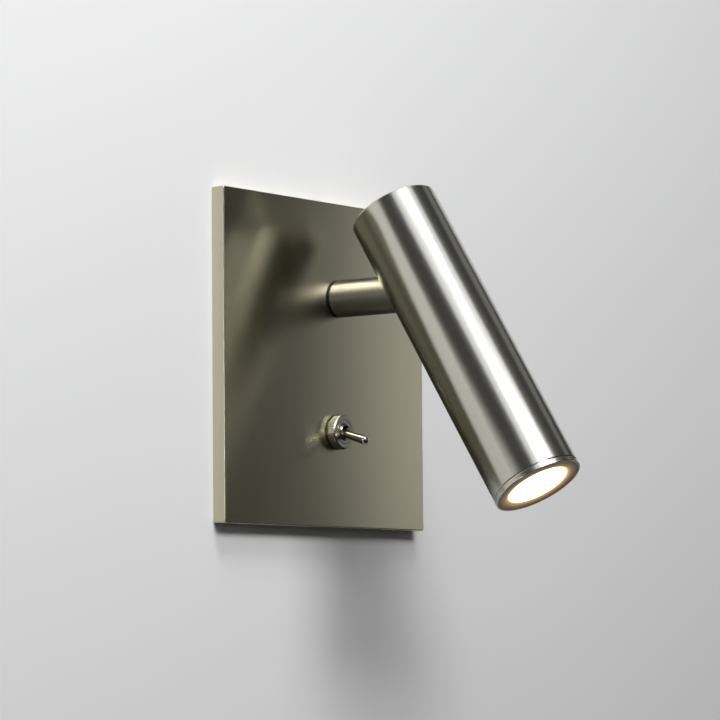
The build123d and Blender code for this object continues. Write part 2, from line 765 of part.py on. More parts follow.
# Three solder lugs in a row at the back.
with BuildPart() as switch_lugs:
    with BuildSketch(Plane.XZ.offset(switch_back)):
        with Locations((switch_x, switch_z)):
            with GridLocations(0, lug_pitch, 1, 3):
                Rectangle(lug_width, lug_thickness)
    extrude(amount=-lug_length)
    with BuildSketch(Plane.XY.offset(switch_z)):
        with Locations((switch_x, lug_length - lug_width / 2 - switch_back)):
            Circle(lug_hole_radius)
    extrude(amount=switch_height / 2, both=True, mode=Mode.SUBTRACT)
switch_lugs.part.label = "switch_lugs"
export_step(switch_lugs.part, "parts/switch_lugs.step")

# A toothed lock washer against the plate's back.
with BuildPart() as lock_washer:
    with BuildSketch(Plane.XZ.offset(lock_washer_front)):
        with Locations((switch_x, switch_z)):
            Circle(lock_washer_radius)
            Circle(bushing_radius + running_fit, mode=Mode.SUBTRACT)
            with PolarLocations(lock_washer_radius, lock_teeth):
                Circle(lock_notch_radius, mode=Mode.SUBTRACT)
    extrude(amount=-lock_washer_thickness)
lock_washer.part.label = "lock_washer"
export_step(lock_washer.part, "parts/lock_washer.step")

# A plain hexagon nut behind the plate sets how far the bushing stands out.
with BuildPart() as back_nut:
    with BuildSketch(Plane.XZ.offset(back_nut_front)):
        with Locations((switch_x, switch_z)):
            RegularPolygon(back_nut_flats / 2, 6, major_radius=False)
            Circle(bushing_radius + thread_fit, mode=Mode.SUBTRACT)
    extrude(amount=-back_nut_thickness)
back_nut.part.label = "back_nut"
export_step(back_nut.part, "parts/back_nut.step")

# The round nut on the plate's face: a groove parts it into two bands, both straight-knurled.
with BuildPart() as knurled_nut:
    with BuildSketch(switch_section):
        with BuildLine():
            groove_start = plate_depth + nut_back_band
            groove_end = groove_start + nut_groove_width
            Polyline(
                (bushing_radius + thread_fit, plate_depth),
                (nut_radius, plate_depth),
                (nut_radius, groove_start),
                (nut_radius - nut_groove_depth, groove_start),
                (nut_radius - nut_groove_depth, groove_end),
                (nut_radius, groove_end),
                (nut_radius, nut_front - nut_front_chamfer),
                (nut_radius - nut_front_chamfer, nut_front),
                (bushing_radius + thread_fit, nut_front),
                close=True,
            )
        make_face()
    revolve(axis=switch_axis)
    with BuildSketch(Plane.XZ.offset(plate_depth)):
        with Locations((switch_x, switch_z)):
            with PolarLocations(nut_radius, knurl_count):
                RegularPolygon(knurl_depth, 4)
    extrude(amount=nut_thickness, mode=Mode.SUBTRACT)
knurled_nut.part.label = "knurled_nut"
export_step(knurled_nut.part, "parts/knurled_nut.step")

# The lever: a ball in the bushing and a stem that widens to a domed tip.
with BuildPart() as toggle_lever:
    with BuildSketch(lever_section):
        with BuildLine():
            tip = lever_pivot_depth + lever_reach
            Polyline(
                (0, 0),
                (lever_foot_radius, 0),
                (lever_tip_radius, tip - lever_tip_radius),
                (0, tip - lever_tip_radius),
                close=True,
            )
        make_face()
    revolve(axis=lever_axis)
    with Locations(lever_centre):
        Sphere(lever_ball_radius)
    with Locations(lever_centre + lever_out * (tip - lever_tip_radius)):
        Sphere(lever_tip_radius)
toggle_lever.part.label = "toggle_lever"
export_step(toggle_lever.part, "parts/toggle_lever.step")

# ---------------------------------------------------------------------------------------------------
# Driver, terminals and earth
# ---------------------------------------------------------------------------------------------------

# The driver's moulded case lies against the plate's back, with an ear at each end.
with BuildPart() as led_driver:
    with BuildSketch(Plane.XZ.offset(face_back)):
        with Locations((driver_x, driver_z)):
            RectangleRounded(driver_width, driver_length, driver_corner)
    extrude(amount=-driver_depth)
    chamfer(led_driver.faces().sort_by(Axis.Y)[-1].edges(), driver_corner / 2)
    with BuildSketch(Plane.XZ.offset(face_back)):
        with Locations((driver_x, driver_z)):
            RectangleRounded(driver_width, driver_length + 2 * driver_ear, driver_corner)
            with GridLocations(0, driver_length + driver_ear, 1, 2):
                Circle(driver_screw_radius + screw_hole_fit, mode=Mode.SUBTRACT)
    extrude(amount=-driver_ear_thickness)
led_driver.part.label = "led_driver"
export_step(led_driver.part, "parts/led_driver.step")

# Two screws through the driver's ears into the plate.
with BuildPart() as driver_screws:
    ear_face = face_back - driver_ear_thickness
    with BuildSketch(Plane.XZ.offset(ear_face)):
        with Locations((driver_x, driver_z)):
            with GridLocations(0, driver_length + driver_ear, 1, 2):
                Circle(driver_screw_head_radius)
    extrude(amount=-driver_screw_head_height)
    with BuildSketch(Plane.XZ.offset(ear_face)):
        with Locations((driver_x, driver_z)):
            with GridLocations(0, driver_length + driver_ear, 1, 2):
                Circle(driver_screw_radius)
    extrude(amount=driver_ear_thickness + driver_screw_bite)
driver_screws.part.label = "driver_screws"
export_step(driver_screws.part, "parts/driver_screws.step")

# A three-pole terminal block: wire holes from end to end, and a screw well over each.
with BuildPart() as terminal_block:
    with BuildSketch(Plane.XZ.offset(face_back)):
        with Locations((driver_x, terminal_z)):
            Rectangle(terminal_poles * terminal_pitch, terminal_height)
    extrude(amount=-terminal_depth)
    terminal_back = face_back - terminal_depth
    with BuildSketch(Plane.XZ.offset(terminal_back)):
        with Locations((driver_x, terminal_z)):
            with GridLocations(terminal_pitch, 0, terminal_poles, 1):
                Circle(terminal_well_radius)
    extrude(amount=terminal_well_depth, mode=Mode.SUBTRACT)
    with BuildSketch(Plane.XY.offset(terminal_z)):
        with Locations((driver_x, terminal_depth / 2 - face_back)):
            with GridLocations(terminal_pitch, 0, terminal_poles, 1):
                Circle(terminal_wire_radius)
    extrude(amount=terminal_height / 2, both=True, mode=Mode.SUBTRACT)
terminal_block.part.label = "terminal_block"
export_step(terminal_block.part, "parts/terminal_block.step")

# Its slotted clamping screws.
with BuildPart() as terminal_screws:
    well_floor = terminal_back + terminal_well_depth
    with BuildSketch(Plane.XZ.offset(well_floor)):
        with Locations((driver_x, terminal_z)):
            with GridLocations(terminal_pitch, 0, terminal_poles, 1):
                Circle(terminal_screw_radius)
    extrude(amount=-terminal_screw_height)
    with BuildSketch(Plane.XZ.offset(well_floor - terminal_screw_height)):
        with Locations((driver_x, terminal_z)):
            with GridLocations(terminal_pitch, 0, terminal_poles, 1):
                Rectangle(2 * terminal_screw_radius, terminal_slot_width)
    extrude(amount=terminal_slot_depth, mode=Mode.SUBTRACT)
terminal_screws.part.label = "terminal_screws"
export_step(terminal_screws.part, "parts/terminal_screws.step")

# The earth stud on the plate's back, with a flat tag and a nut.
with BuildPart() as earth_stud:
    with BuildSketch(Plane.XZ.offset(face_back)):
        with Locations((earth_x, earth_z)):
            Circle(earth_stud_radius)
    extrude(amount=-earth_stud_length)
    chamfer(earth_stud.faces().sort_by(Axis.Y)[-1].edges(), edge_break)
earth_stud.part.label = "earth_stud"
export_step(earth_stud.part, "parts/earth_stud.step")

with BuildPart() as earth_tag:
    with BuildSketch(Plane.XZ.offset(face_back)):
        with Locations((earth_x, earth_z)):
            Circle(earth_tag_radius)
        with Locations((earth_x, earth_z - earth_tag_blade / 2)):
            Rectangle(earth_tag_width, earth_tag_blade)
        with Locations((earth_x, earth_z)):
            Circle(earth_stud_radius + screw_hole_fit, mode=Mode.SUBTRACT)
    extrude(amount=-earth_tag_thickness)
earth_tag.part.label = "earth_tag"
export_step(earth_tag.part, "parts/earth_tag.step")

with BuildPart() as earth_nut:
    with BuildSketch(Plane.XZ.offset(face_back - earth_tag_thickness)):
        with Locations((earth_x, earth_z)):
            RegularPolygon(earth_nut_flats / 2, 6, major_radius=False)
            Circle(earth_stud_radius + thread_fit, mode=Mode.SUBTRACT)
    extrude(amount=-earth_nut_thickness)
earth_nut.part.label = "earth_nut"
export_step(earth_nut.part, "parts/earth_nut.step")
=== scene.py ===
# %% [markdown]
# # A bedside wall reading lamp in satin nickel
#
# The lamp is a square steel plate on a wall, a short round arm that swivels in it, a cylindrical
# spotlight head that tilts on the arm's end, and a toggle switch low on the plate. Its solids come
# from a construction model, already at their real size and place. This script gives them their
# finishes, remakes in finer meshes the pieces that the eye rests on, and sets up the wall, the
# light and the camera.
#
# The frame: metres, the origin on the wall at the plate's centre, +X right along the wall, +Z up,
# and -Y out into the room.

# %% Load the solids
from math import atan2, cos, degrees, pi, radians, sin

import bmesh
import bpy
from mathutils import Matrix, Vector


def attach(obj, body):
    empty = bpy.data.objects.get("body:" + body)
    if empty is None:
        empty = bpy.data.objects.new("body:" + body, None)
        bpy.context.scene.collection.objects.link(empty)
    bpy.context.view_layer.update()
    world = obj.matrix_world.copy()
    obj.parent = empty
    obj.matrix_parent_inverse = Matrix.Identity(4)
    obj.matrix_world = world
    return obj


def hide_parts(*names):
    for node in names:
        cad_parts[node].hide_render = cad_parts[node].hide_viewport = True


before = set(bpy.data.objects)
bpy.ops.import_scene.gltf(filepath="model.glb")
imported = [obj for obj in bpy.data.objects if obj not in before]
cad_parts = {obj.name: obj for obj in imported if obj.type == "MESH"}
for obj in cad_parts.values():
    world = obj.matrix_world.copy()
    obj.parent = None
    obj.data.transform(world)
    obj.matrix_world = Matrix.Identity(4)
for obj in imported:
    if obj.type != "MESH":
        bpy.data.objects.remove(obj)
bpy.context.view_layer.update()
scene = bpy.context.scene
mm = 0.001

# %% [markdown]
# ## Helpers for colours and shader nodes
#
# Colours are picked as sRGB hex values, as a painter reads them off a screen, and Blender's shaders
# want them linear, so one function turns them. A second one adds a shader node with its settings,
# its input values and its links in one line, which keeps each material short enough to read at a
# glance.

# %% Colour and node helpers
def colour(hex_code):
    """An sRGB hex value as opaque linear RGBA, by the curve in the sRGB standard."""
    parts = [int(hex_code[i:i + 2], 16) / 255 for i in (1, 3, 5)]
    return [p / 12.92 if p <= 0.04045 else ((p + 0.055) / 1.055) ** 2.4 for p in parts] + [1.0]


def add(material, kind, inputs=None, **settings):
    """One shader node; inputs maps a socket's name or index to a value or to another's socket."""
    tree = material.node_tree
    made = tree.nodes.new(kind)
    for name, value in settings.items():
        setattr(made, name, value)
    for name, value in (inputs or {}).items():
        if isinstance(value, bpy.types.NodeSocket):
            tree.links.new(value, made.inputs[name])
        else:
            made.inputs[name].default_value = value
    return made


def blank(name):
    """A material with an empty node tree."""
    material = bpy.data.materials.new(name)
    material.use_nodes = True
    material.node_tree.nodes.clear()
    return material


def finish_with(material, shader):
    """Links a shader node to the material's output."""
    add(material, "ShaderNodeOutputMaterial", {"Surface": shader.outputs[0]})
    return material


print("white is", colour("#FFFFFF"))

# %% [markdown]
# ## Satin nickel
#
# The plate, arm and head are nickel plated and then finished satin, with fine abrasive belts or
# wire brushes. Bare nickel is a warm grey metal. A satin finish is a mirror broken up by grooves,
# so it reads as a blurred reflection, with a faint grain. The grain is a noise pattern stretched
# along the brushing, and it drives the roughness and a very low bump.
#
# Real grooves are some hundredths of a millimetre wide, too fine to show. They are drawn a quarter
# of a millimetre wide, which is as coarse as they need to be to be seen.

# %% Satin nickel
noise_low, noise_high = 0.3, 0.7     # nearly all values of a noise texture lie between these
groove_width, groove_depth = 0.25 * mm, 0.0002 * mm
gloss_change = 0.015                 # how far the grooves move the roughness up and down
across_the_grain = 0.25              # in turns, as the shader's anisotropic rotation wants it


def satin_metal(name, tint, roughness, stretch, smear=0.0, turn=0.0):
    """A brushed metal; stretch is how many groove widths its grain runs along X, Y and Z."""
    metal = blank(name)
    place = add(metal, "ShaderNodeTexCoord").outputs["Object"]
    laid = add(metal, "ShaderNodeMapping",
               {"Vector": place, "Rotation": (turn, 0, 0),
                "Scale": [widths * groove_width for widths in stretch]}, vector_type="TEXTURE")
    grain = add(metal, "ShaderNodeTexNoise",
                {"Vector": laid.outputs[0], "Scale": 1.0, "Detail": 3.0}).outputs["Fac"]
    rough = add(metal, "ShaderNodeMapRange",
                {"Value": grain, "From Min": noise_low, "From Max": noise_high,
                 "To Min": roughness - gloss_change, "To Max": roughness + gloss_change})
    bump = add(metal, "ShaderNodeBump",
               {"Height": grain, "Distance": groove_depth, "Strength": 1.0})
    shader = add(metal, "ShaderNodeBsdfPrincipled",
                 {"Base Color": colour(tint), "Metallic": 1.0, "Roughness": rough.outputs[0],
                  "Anisotropic": smear, "Anisotropic Rotation": across_the_grain,
                  "Normal": bump.outputs[0]})
    return finish_with(metal, shader)


head_tilt = radians(31)              # how far the head leans out of vertical
# The plate is brushed from side to side, so what it mirrors is smeared up and down.
plate_nickel = satin_metal("satin_nickel_plate", "#C6C1AA", 0.25, (20, 1, 1), smear=0.75)
# The arm is finished in a lathe. Its grooves run round it and blur its one bright line.
arm_nickel = satin_metal("satin_nickel_bar", "#C6C4BA", 0.30, (20, 1, 20))
# The head is brushed along its length and is the glossiest, so its stripes have clearer edges.
head_nickel = satin_metal("satin_nickel_tube", "#CBC9BD", 0.20, (1, 1, 20), turn=-head_tilt)
print("satin metals:", plate_nickel.name, arm_nickel.name, head_nickel.name)

# %% [markdown]
# ## Plain metals
#
# Screws, nuts, the yoke and the reflector are plain or plated metals. They could share one grey,
# but a viewer tells zinc, aluminium, tin and black oxide apart by their tint and gloss, so each has
# its own. The gloss of real plating is uneven in patches of a millimetre or so, from the bath and
# from handling. A soft noise drives the roughness alone here, because a bump at this scale would
# read as dents.

# %% Polished, plated and plain metals
def plain_metal(name, tint, roughness, mottle_mm=1.5, spread=0.03):
    """A metal whose gloss changes a little over the surface, as plating and handling leave it."""
    metal = blank(name)
    place = add(metal, "ShaderNodeTexCoord").outputs["Object"]
    clouds = add(metal, "ShaderNodeTexNoise",
                 {"Vector": place, "Scale": 1 / (mottle_mm * mm), "Detail": 2.0})
    rough = add(metal, "ShaderNodeMapRange",
                {"Value": clouds.outputs["Fac"], "From Min": noise_low, "From Max": noise_high,
                 "To Min": roughness - spread, "To Max": roughness + spread})
    shader = add(metal, "ShaderNodeBsdfPrincipled",
                 {"Base Color": colour(tint), "Metallic": 1.0, "Roughness": rough.outputs[0]})
    return finish_with(metal, shader)


# Polished before it is plated: a warm, nearly clear mirror on the lever.
bright_nickel = plain_metal("bright_nickel", "#CFC9BC", 0.15)
# Plated as it comes off the lathe: the nut has a soft sheen and no clear reflection.
turned_nickel = plain_metal("satin_turned_nickel", "#BDB8AC", 0.24)
# Cheap screws and brackets: a bluish grey with a cloudy gloss.
zinc_plate = plain_metal("zinc_plated_steel", "#C3C6C8", 0.32, 3.0, 0.06)
# The set screws: nearly black and a little oily.
black_oxide = plain_metal("black_oxide_steel", "#2A2A2C", 0.42)
# Yoke and heat sink: a dull neutral grey with the grain of the mould.
cast_aluminium = plain_metal("die_cast_aluminium", "#B9BABC", 0.45, 1.0, 0.08)
# The reflector: the lightest metal here, and a clear mirror.
bright_aluminium = plain_metal("polished_aluminium", "#E6E7E8", 0.12)
# Electrical tags and studs: a yellowish pale metal that takes solder.
tin_plate = plain_metal("tinned_brass", "#CFC7A8", 0.25)
print("plain metals:", bright_nickel.name, turned_nickel.name, zinc_plate.name, black_oxide.name)
print("and:", cast_aluminium.name, bright_aluminium.name, tin_plate.name)

# %% [markdown]
# ## Plastics, rubber and board
#
# Moulded pieces carry the fine texture of their mould, so their noise drives a bump and the
# roughness stays one number. The refractive index sets how bright the sheen is, and it is a known
# figure for each plastic: about 1.42 for silicone, 1.5 for most others and 1.6 for phenolic.

# %% Plastics, rubber and board
mould_grain, mould_depth = 0.4 * mm, 0.01 * mm


def moulded(name, tint, roughness, ior):
    """A moulded plastic with a fine mould texture."""
    plastic = blank(name)
    place = add(plastic, "ShaderNodeTexCoord").outputs["Object"]
    grain = add(plastic, "ShaderNodeTexNoise",
                {"Vector": place, "Scale": 1 / mould_grain, "Detail": 2.0})
    bump = add(plastic, "ShaderNodeBump",
               {"Height": grain.outputs["Fac"], "Distance": mould_depth, "Strength": 1.0})
    shader = add(plastic, "ShaderNodeBsdfPrincipled",
                 {"Base Color": colour(tint), "Roughness": roughness, "IOR": ior,
                  "Normal": bump.outputs[0]})
    return finish_with(plastic, shader)


black_nylon = moulded("black_nylon", "#1E1E1D", 0.45, 1.53)         # bushes that slide unoiled
white_abs = moulded("white_abs", "#E8E7E2", 0.45, 1.53)             # the driver's closed case
natural_nylon = moulded("natural_nylon", "#E4DFCE", 0.40, 1.53)     # undyed, a little yellow
red_phenolic = moulded("red_phenolic", "#7A2620", 0.35, 1.6)        # hard and hot-pressed
white_mask = moulded("white_solder_mask", "#EDEDE8", 0.35, 1.5)     # lacquer on the light board
phosphor = moulded("silicone_over_phosphor", "#E9C65A", 0.30, 1.42)  # yellow while it is off
silicone = moulded("silicone_rubber", "#DAD9D4", 0.55, 1.42)        # a milky seal
print("plastics:", black_nylon.name, white_abs.name, natural_nylon.name, red_phenolic.name)
print("and:", white_mask.name, phosphor.name, silicone.name)

# %% [markdown]
# ## Measuring from the head's axis
#
# The lens and the ring round it both change colour in rings round the head's axis. Their patterns
# could be painted on by hand, but a distance is exact and stays with the piece when it moves. So
# both materials read one measure: how far a point lies from that axis, in millimetres. A ramp then
# turns the distance into a colour.

# %% Radius from the head's axis, and ramps
pivot = Vector((7.5, -49.5, 24.5)) * mm      # the middle of the tilt screw, on the head's axis


def radius_in_head(material):
    """How far a surface point is from the head's axis, in millimetres."""
    place = add(material, "ShaderNodeTexCoord").outputs["Object"]
    local = add(material, "ShaderNodeMapping",
                {"Vector": place, "Location": pivot, "Rotation": (-head_tilt, 0, 0),
                 "Scale": (mm, mm, mm)}, vector_type="TEXTURE")
    flat = add(material, "ShaderNodeVectorMath",
               {0: local.outputs[0], 1: (1, 1, 0)}, operation="MULTIPLY")
    radius = add(material, "ShaderNodeVectorMath", {0: flat.outputs[0]}, operation="LENGTH")
    return radius.outputs["Value"]


def ramp(material, value, low, high, stops):
    """Colours along a value from low to high; stops are (value, hex colour)."""
    share = add(material, "ShaderNodeMapRange", {"Value": value, "From Min": low, "From Max": high})
    made = add(material, "ShaderNodeValToRGB", {"Fac": share.outputs[0]})
    scale = made.color_ramp.elements
    while len(scale) < len(stops):
        scale.new(0.5)
    for element, (at, hex_code) in zip(scale, stops):
        element.position = (at - low) / (high - low)
        element.color = colour(hex_code)
    return made.outputs["Color"]


print("head tilted by", round(degrees(head_tilt)), "degrees about",
      [round(v / mm, 1) for v in pivot])

# %% [markdown]
# ## The lit end
#
# The lens is opal acrylic over a warm white light. Opal plastic scatters light so well that no
# lamp shows through it, so it needs no glass shader: it is a soft glow, brightest in the middle and
# warmer at its rim. The ring's face round it is darkened against glare, and the warm spill of the
# lens's light on that face is painted: a real light inside would have to find its way out through
# the lens, which is slow and grainy, so the spill is a painted glow of the ring's own, and the
# face's tint is painted lighter and warmer next to the lens as well.

# %% Opal lens and darkened ring
even_radius, mouth_radius = 8.0, 11.5        # the glow is even inside the first
face_start, face_radius, ring_radius = 11.0, 15.8, 16.5      # the darkened face, and the whole ring


def lit_opal(name, strength):
    """Opal acrylic over a warm light, warmer towards its rim."""
    lens = blank(name)
    glow = ramp(lens, radius_in_head(lens), even_radius, mouth_radius,
                [(even_radius, "#FFF0DC"), (10.6, "#FFE6C4"), (11.2, "#E8C48C"),
                 (mouth_radius, "#B08A58")])
    shader = add(lens, "ShaderNodeBsdfPrincipled",
                 {"Base Color": colour("#F4EFE4"), "Roughness": 0.35, "IOR": 1.49,
                  "Emission Color": glow, "Emission Strength": strength})
    return finish_with(lens, shader)


def ring_with_painted_glow(name, roughness):
    """Satin nickel with a darkened face, and the lens's light painted on it as a glow and a tint.
    """
    ring = blank(name)
    radius = radius_in_head(ring)
    # The face is dark, and its inner part is painted lighter and warmer, as if the lens lit it.
    tint = ramp(ring, radius, face_start, ring_radius,
                [(face_start, "#6A5C48"), (face_radius, "#4A4238"), (16.1, "#CBC9BD")])
    # Painted light: the lens's warm spill, as a glow that fades out from the lens's rim.
    painted_spill = ramp(ring, radius, face_start, ring_radius,
                 [(11.4, "#FFE0B0"), (12.0, "#B8935F"), (13.0, "#785A36"), (14.4, "#40301C"),
                  (face_radius, "#140E08"), (16.0, "#000000")])
    shader = add(ring, "ShaderNodeBsdfPrincipled",
                 {"Base Color": tint, "Metallic": 1.0, "Roughness": roughness,
                  "Emission Color": painted_spill, "Emission Strength": 1.0})
    return finish_with(ring, shader)


opal = lit_opal("lit_opal_acrylic", strength=4.0)
ring_nickel = ring_with_painted_glow("darkened_nickel_painted_glow", roughness=0.22)
print("lit end:", opal.name, ring_nickel.name)

# %% [markdown]
# ## Turned pieces
#
# The lens ring, the lens and the switch's small metal pieces are all turned on a lathe, so each is
# one outline spun round an axis. They could be cylinders with bevels, but an outline holds the
# whole section in one short list, as (radius, height) in millimetres, where height runs along the
# axis. Each corner of it is broken by a small arc, because no real edge is perfectly sharp and the
# arc is what catches light. A supporting point beside each arc keeps the flat faces next to it flat
# in the shading.

# %% Broken edges
def broken_edges(corners, edge, arc_steps=4):
    """The outline with an arc and two supporting points for each corner but the two ends."""
    longest_share, support = 0.4, 1.2        # of a side, and of the arc's reach
    points = [Vector(c) for c in corners]
    soft = [points[0]]
    for before, corner, after in zip(points, points[1:], points[2:]):
        back, on = before - corner, after - corner
        reach = min(edge, longest_share * back.length, longest_share * on.length)
        start, end = corner + back.normalized() * reach, corner + on.normalized() * reach
        soft.append(corner + back.normalized() * reach * support)
        for step in range(arc_steps + 1):
            t = step / arc_steps
            soft.append(start * (1 - t) ** 2 + corner * 2 * t * (1 - t) + end * t ** 2)
        soft.append(corner + on.normalized() * reach * support)
    return soft + [points[-1]]


square = [(1, 0), (1, 1), (0, 1)]
print("a square corner becomes", len(broken_edges(square, 0.1)) - 2, "points")

# %% [markdown]
# ## From an outline to a piece
#
# Blender's spin operator does the lathe's work. A full spin leaves doubled points where it closes
# and on the axis, so they are merged, and only then are the normals turned outwards. The mesh is
# moved to its place as a mesh, and its object stays at the origin, because the solids are laid out
# in that way too and patterns on Object coordinates then fit on both. Last, the piece takes over
# from its solid: it rides on the same body and hides the solid that it replaces.

# %% Lathe, place and dress
def lathe(outline, steps):
    """A bmesh of an outline of (radius, height) in mm, spun round the height axis."""
    shape = bmesh.new()
    rim = [shape.verts.new((radius * mm, 0, height * mm)) for radius, height in outline]
    edges = [shape.edges.new(pair) for pair in zip(rim, rim[1:])]
    bmesh.ops.spin(shape, geom=rim + edges, cent=(0, 0, 0), axis=(0, 0, 1), dvec=(0, 0, 0),
                   angle=2 * pi, steps=steps, use_merge=True, use_duplicate=False)
    bmesh.ops.remove_doubles(shape, verts=shape.verts, dist=1e-7)
    bmesh.ops.recalc_face_normals(shape, faces=shape.faces)
    return shape


def placed(name, shape, place):
    """Ends a bmesh: sets it at its place, shades it smooth and puts it in the scene."""
    shape.transform(place)
    for face in shape.faces:
        face.smooth = True
    mesh = bpy.data.meshes.new(name)
    shape.to_mesh(mesh)
    shape.free()
    made = bpy.data.objects.new(name, mesh)
    scene.collection.objects.link(made)
    return made


def dress(piece, node, body, finish):
    """Puts a remade piece in the place of its solid."""
    piece.data.materials.append(finish)
    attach(piece, body)
    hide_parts(node)


head_place = Matrix.Translation(pivot) @ Matrix.Rotation(-head_tilt, 4, "X")
print("the head's axis points along", [round(v, 3) for v in head_place.col[2][:3]])

# %% [markdown]
# ## The lens ring
#
# The ring is pressed into the tube's end. Its mouth is a small cone round the lens, and the rest of
# its face is nearly flat. Where it meets the tube, a hairline groove marks the seam. A real gap is
# thinner, but this is as narrow as it can be without flickering in the picture. Heights run up the
# head's axis from its pivot, so the open end has the lowest ones.

# %% Lens ring
end_face, seam = -84.5, -82.4
seam_gap, seam_depth = 0.35, 0.3
bore_radius, spigot_radius = 13.2, 14.95     # inside the ring, and of the part inside the tube
lens_seat, spigot_end, split = -82.9, -78.4, -80.5
ring_steps = 128
ring_outline = broken_edges(
    [(bore_radius, split), (bore_radius, lens_seat), (mouth_radius, lens_seat),
     (mouth_radius, -84.0), (12.3, -84.4), (face_radius, end_face), (ring_radius, end_face),
     (ring_radius, seam - seam_gap), (ring_radius - seam_depth, seam - seam_gap),
     (ring_radius - seam_depth, seam), (spigot_radius, seam), (spigot_radius, spigot_end),
     (bore_radius, spigot_end), (bore_radius, split)], edge=0.25)
lens_ring = placed("lens_ring_turned", lathe(ring_outline, ring_steps), head_place)
dress(lens_ring, "lens_ring", "head", ring_nickel)
print("ring:", len(lens_ring.data.polygons), "faces")

# %% [markdown]
# ## The lens
#
# The lens is a moulded disc with a flange behind the ring's mouth. Its front could be flat, but a
# very shallow dome, three tenths of a millimetre high, gives the soft roll of light that moulded
# opal has at its rim.

# %% Lens
dome_rim, dome_rise, lens_radius, dome_steps = -84.1, 0.3, 11.45, 8
flange_radius, flange_front, lens_back = 13.1, -82.95, -81.4
dome = [(lens_radius * k / dome_steps, dome_rim - dome_rise * (1 - (k / dome_steps) ** 2))
        for k in range(dome_steps + 1)]
lens_outline = dome + [(lens_radius, flange_front), (flange_radius, flange_front),
                       (flange_radius, lens_back), (0, lens_back)]
lens = placed("opal_lens", lathe(lens_outline, ring_steps), head_place)
dress(lens, "front_lens", "head", opal)
print("lens:", len(lens.data.polygons), "faces")

# %% [markdown]
# ## The toggle switch's nut
#
# The nut is knurled so that fingers can turn it. Its knurl is made as the real one is: a plain
# turned blank, whose skin is pushed in and out all round. Here each vertex near the outer radius
# moves towards the axis by a wave of its angle. The nut's foot is narrower than its grip. That
# leaves a thin dark line between the nut and its mirror image in the plate, which tells the eye
# where the nut ends.

# %% Knurled nut
plate_front = 5.5
switch_x, switch_z = 5.5, -25.0


def on_switch_axis(level, droop=0.0):
    """A place level mm out from the wall; its height axis points out, or droops by some degrees."""
    return (Matrix.Translation(Vector((switch_x, -level, switch_z)) * mm)
            @ Matrix.Rotation(pi / 2 + radians(droop), 4, "X"))


knurls, knurl_depth, steps_per_knurl = 60, 0.18, 6
knurl_start, knurl_full = 6.1, 6.3           # the wave grows from nothing between these radii
nut_bore, nut_foot, nut_grip, nut_height = 3.1, 5.6, 6.4, 3.7
nut_outline = broken_edges(
    [(nut_bore, 2.0), (nut_bore, 0), (nut_foot, 0), (nut_foot, 0.5), (nut_grip, 0.7),
     (nut_grip, 3.1), (5.8, nut_height), (4.6, nut_height), (4.5, 3.6), (4.3, 3.6),
     (4.2, nut_height), (3.3, nut_height), (nut_bore, 3.5), (nut_bore, 2.0)],
    edge=0.08, arc_steps=2)
nut = lathe(nut_outline, steps_per_knurl * knurls)
for vertex in nut.verts:
    flat = Vector((vertex.co.x, vertex.co.y, 0))
    share = min(max((flat.length / mm - knurl_start) / (knurl_full - knurl_start), 0), 1)
    wave = 0.5 - 0.5 * cos(knurls * atan2(flat.y, flat.x))
    vertex.co -= flat.normalized() * share * wave * knurl_depth * mm
nut = placed("nut_with_knurl", nut, on_switch_axis(plate_front))
dress(nut, "knurled_nut", "wall_unit", turned_nickel)
print("nut:", len(nut.data.polygons), "faces,", knurls, "knurls")

# %% [markdown]
# ## The toggle switch's lever
#
# The lever is one turned piece: a ball that sits in the bushing and lets it tip, a thin foot, and a
# bar that grows a little towards its round tip. Ball and tip are arcs, worked out by a formula in
# steps of ten degrees, and the outline joins them with straight lines.

# %% Lever
lever_droop, ball_level = 17, 7.1
ball_radius, foot_radius, tip_radius, tip_centre = 1.95, 1.3, 1.65, 11.55
foot_start, foot_end, lever_steps = 2.1, 3.0, 64
ball = [(ball_radius * sin(a), -ball_radius * cos(a))
        for a in (radians(10 * k) for k in range(15))]
tip = [(tip_radius * cos(a), tip_centre + tip_radius * sin(a))
       for a in (radians(10 * k) for k in range(10))]
lever_outline = ball + [(foot_radius, foot_start), (foot_radius, foot_end)] + tip
lever = placed("lever", lathe(lever_outline, lever_steps), on_switch_axis(ball_level, lever_droop))
dress(lever, "toggle_lever", "toggle", bright_nickel)
print("lever:", len(lever.data.polygons), "faces")

# %% [markdown]
# ## A finish for every solid
#
# The solids arrive in plain grey, and each has one material in the real lamp. A table from material
# to names does this in a few lines, and it is easy to check: its names have to add up to the whole
# model. The pieces inside the head and behind the plate get their finish too, because the lamp can
# be seen from behind.

# %% Every solid gets its finish
finishes = {
    plate_nickel: ["faceplate"],
    arm_nickel: ["arm", "arm_knuckle"],
    head_nickel: ["head_tube", "end_cap"],
    ring_nickel: ["lens_ring"],
    turned_nickel: ["knurled_nut"],
    bright_nickel: ["switch_bushing", "toggle_lever", "back_nut"],
    zinc_plate: ["wall_bracket", "stop_washer", "spring_washer", "swivel_nut", "pivot_screw",
                 "pivot_nut", "yoke_screws", "board_screws", "lock_washer", "driver_screws",
                 "terminal_screws"],
    black_oxide: ["grub_screws"],
    cast_aluminium: ["pivot_yoke", "heat_sink"],
    bright_aluminium: ["reflector"],
    tin_plate: ["switch_lugs", "earth_stud", "earth_tag", "earth_nut"],
    black_nylon: ["swivel_bush", "swivel_washer", "friction_washers"],
    white_abs: ["led_driver"],
    natural_nylon: ["terminal_block"],
    red_phenolic: ["switch_body"],
    white_mask: ["led_board"],
    phosphor: ["led_emitter"],
    silicone: ["lens_gasket"],
    opal: ["front_lens"],
}
for material, names in finishes.items():
    for name in names:
        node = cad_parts[name]
        node.data.materials.clear()
        node.data.materials.append(material)
print("finished:", sum(len(n) for n in finishes.values()), "of", len(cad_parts))
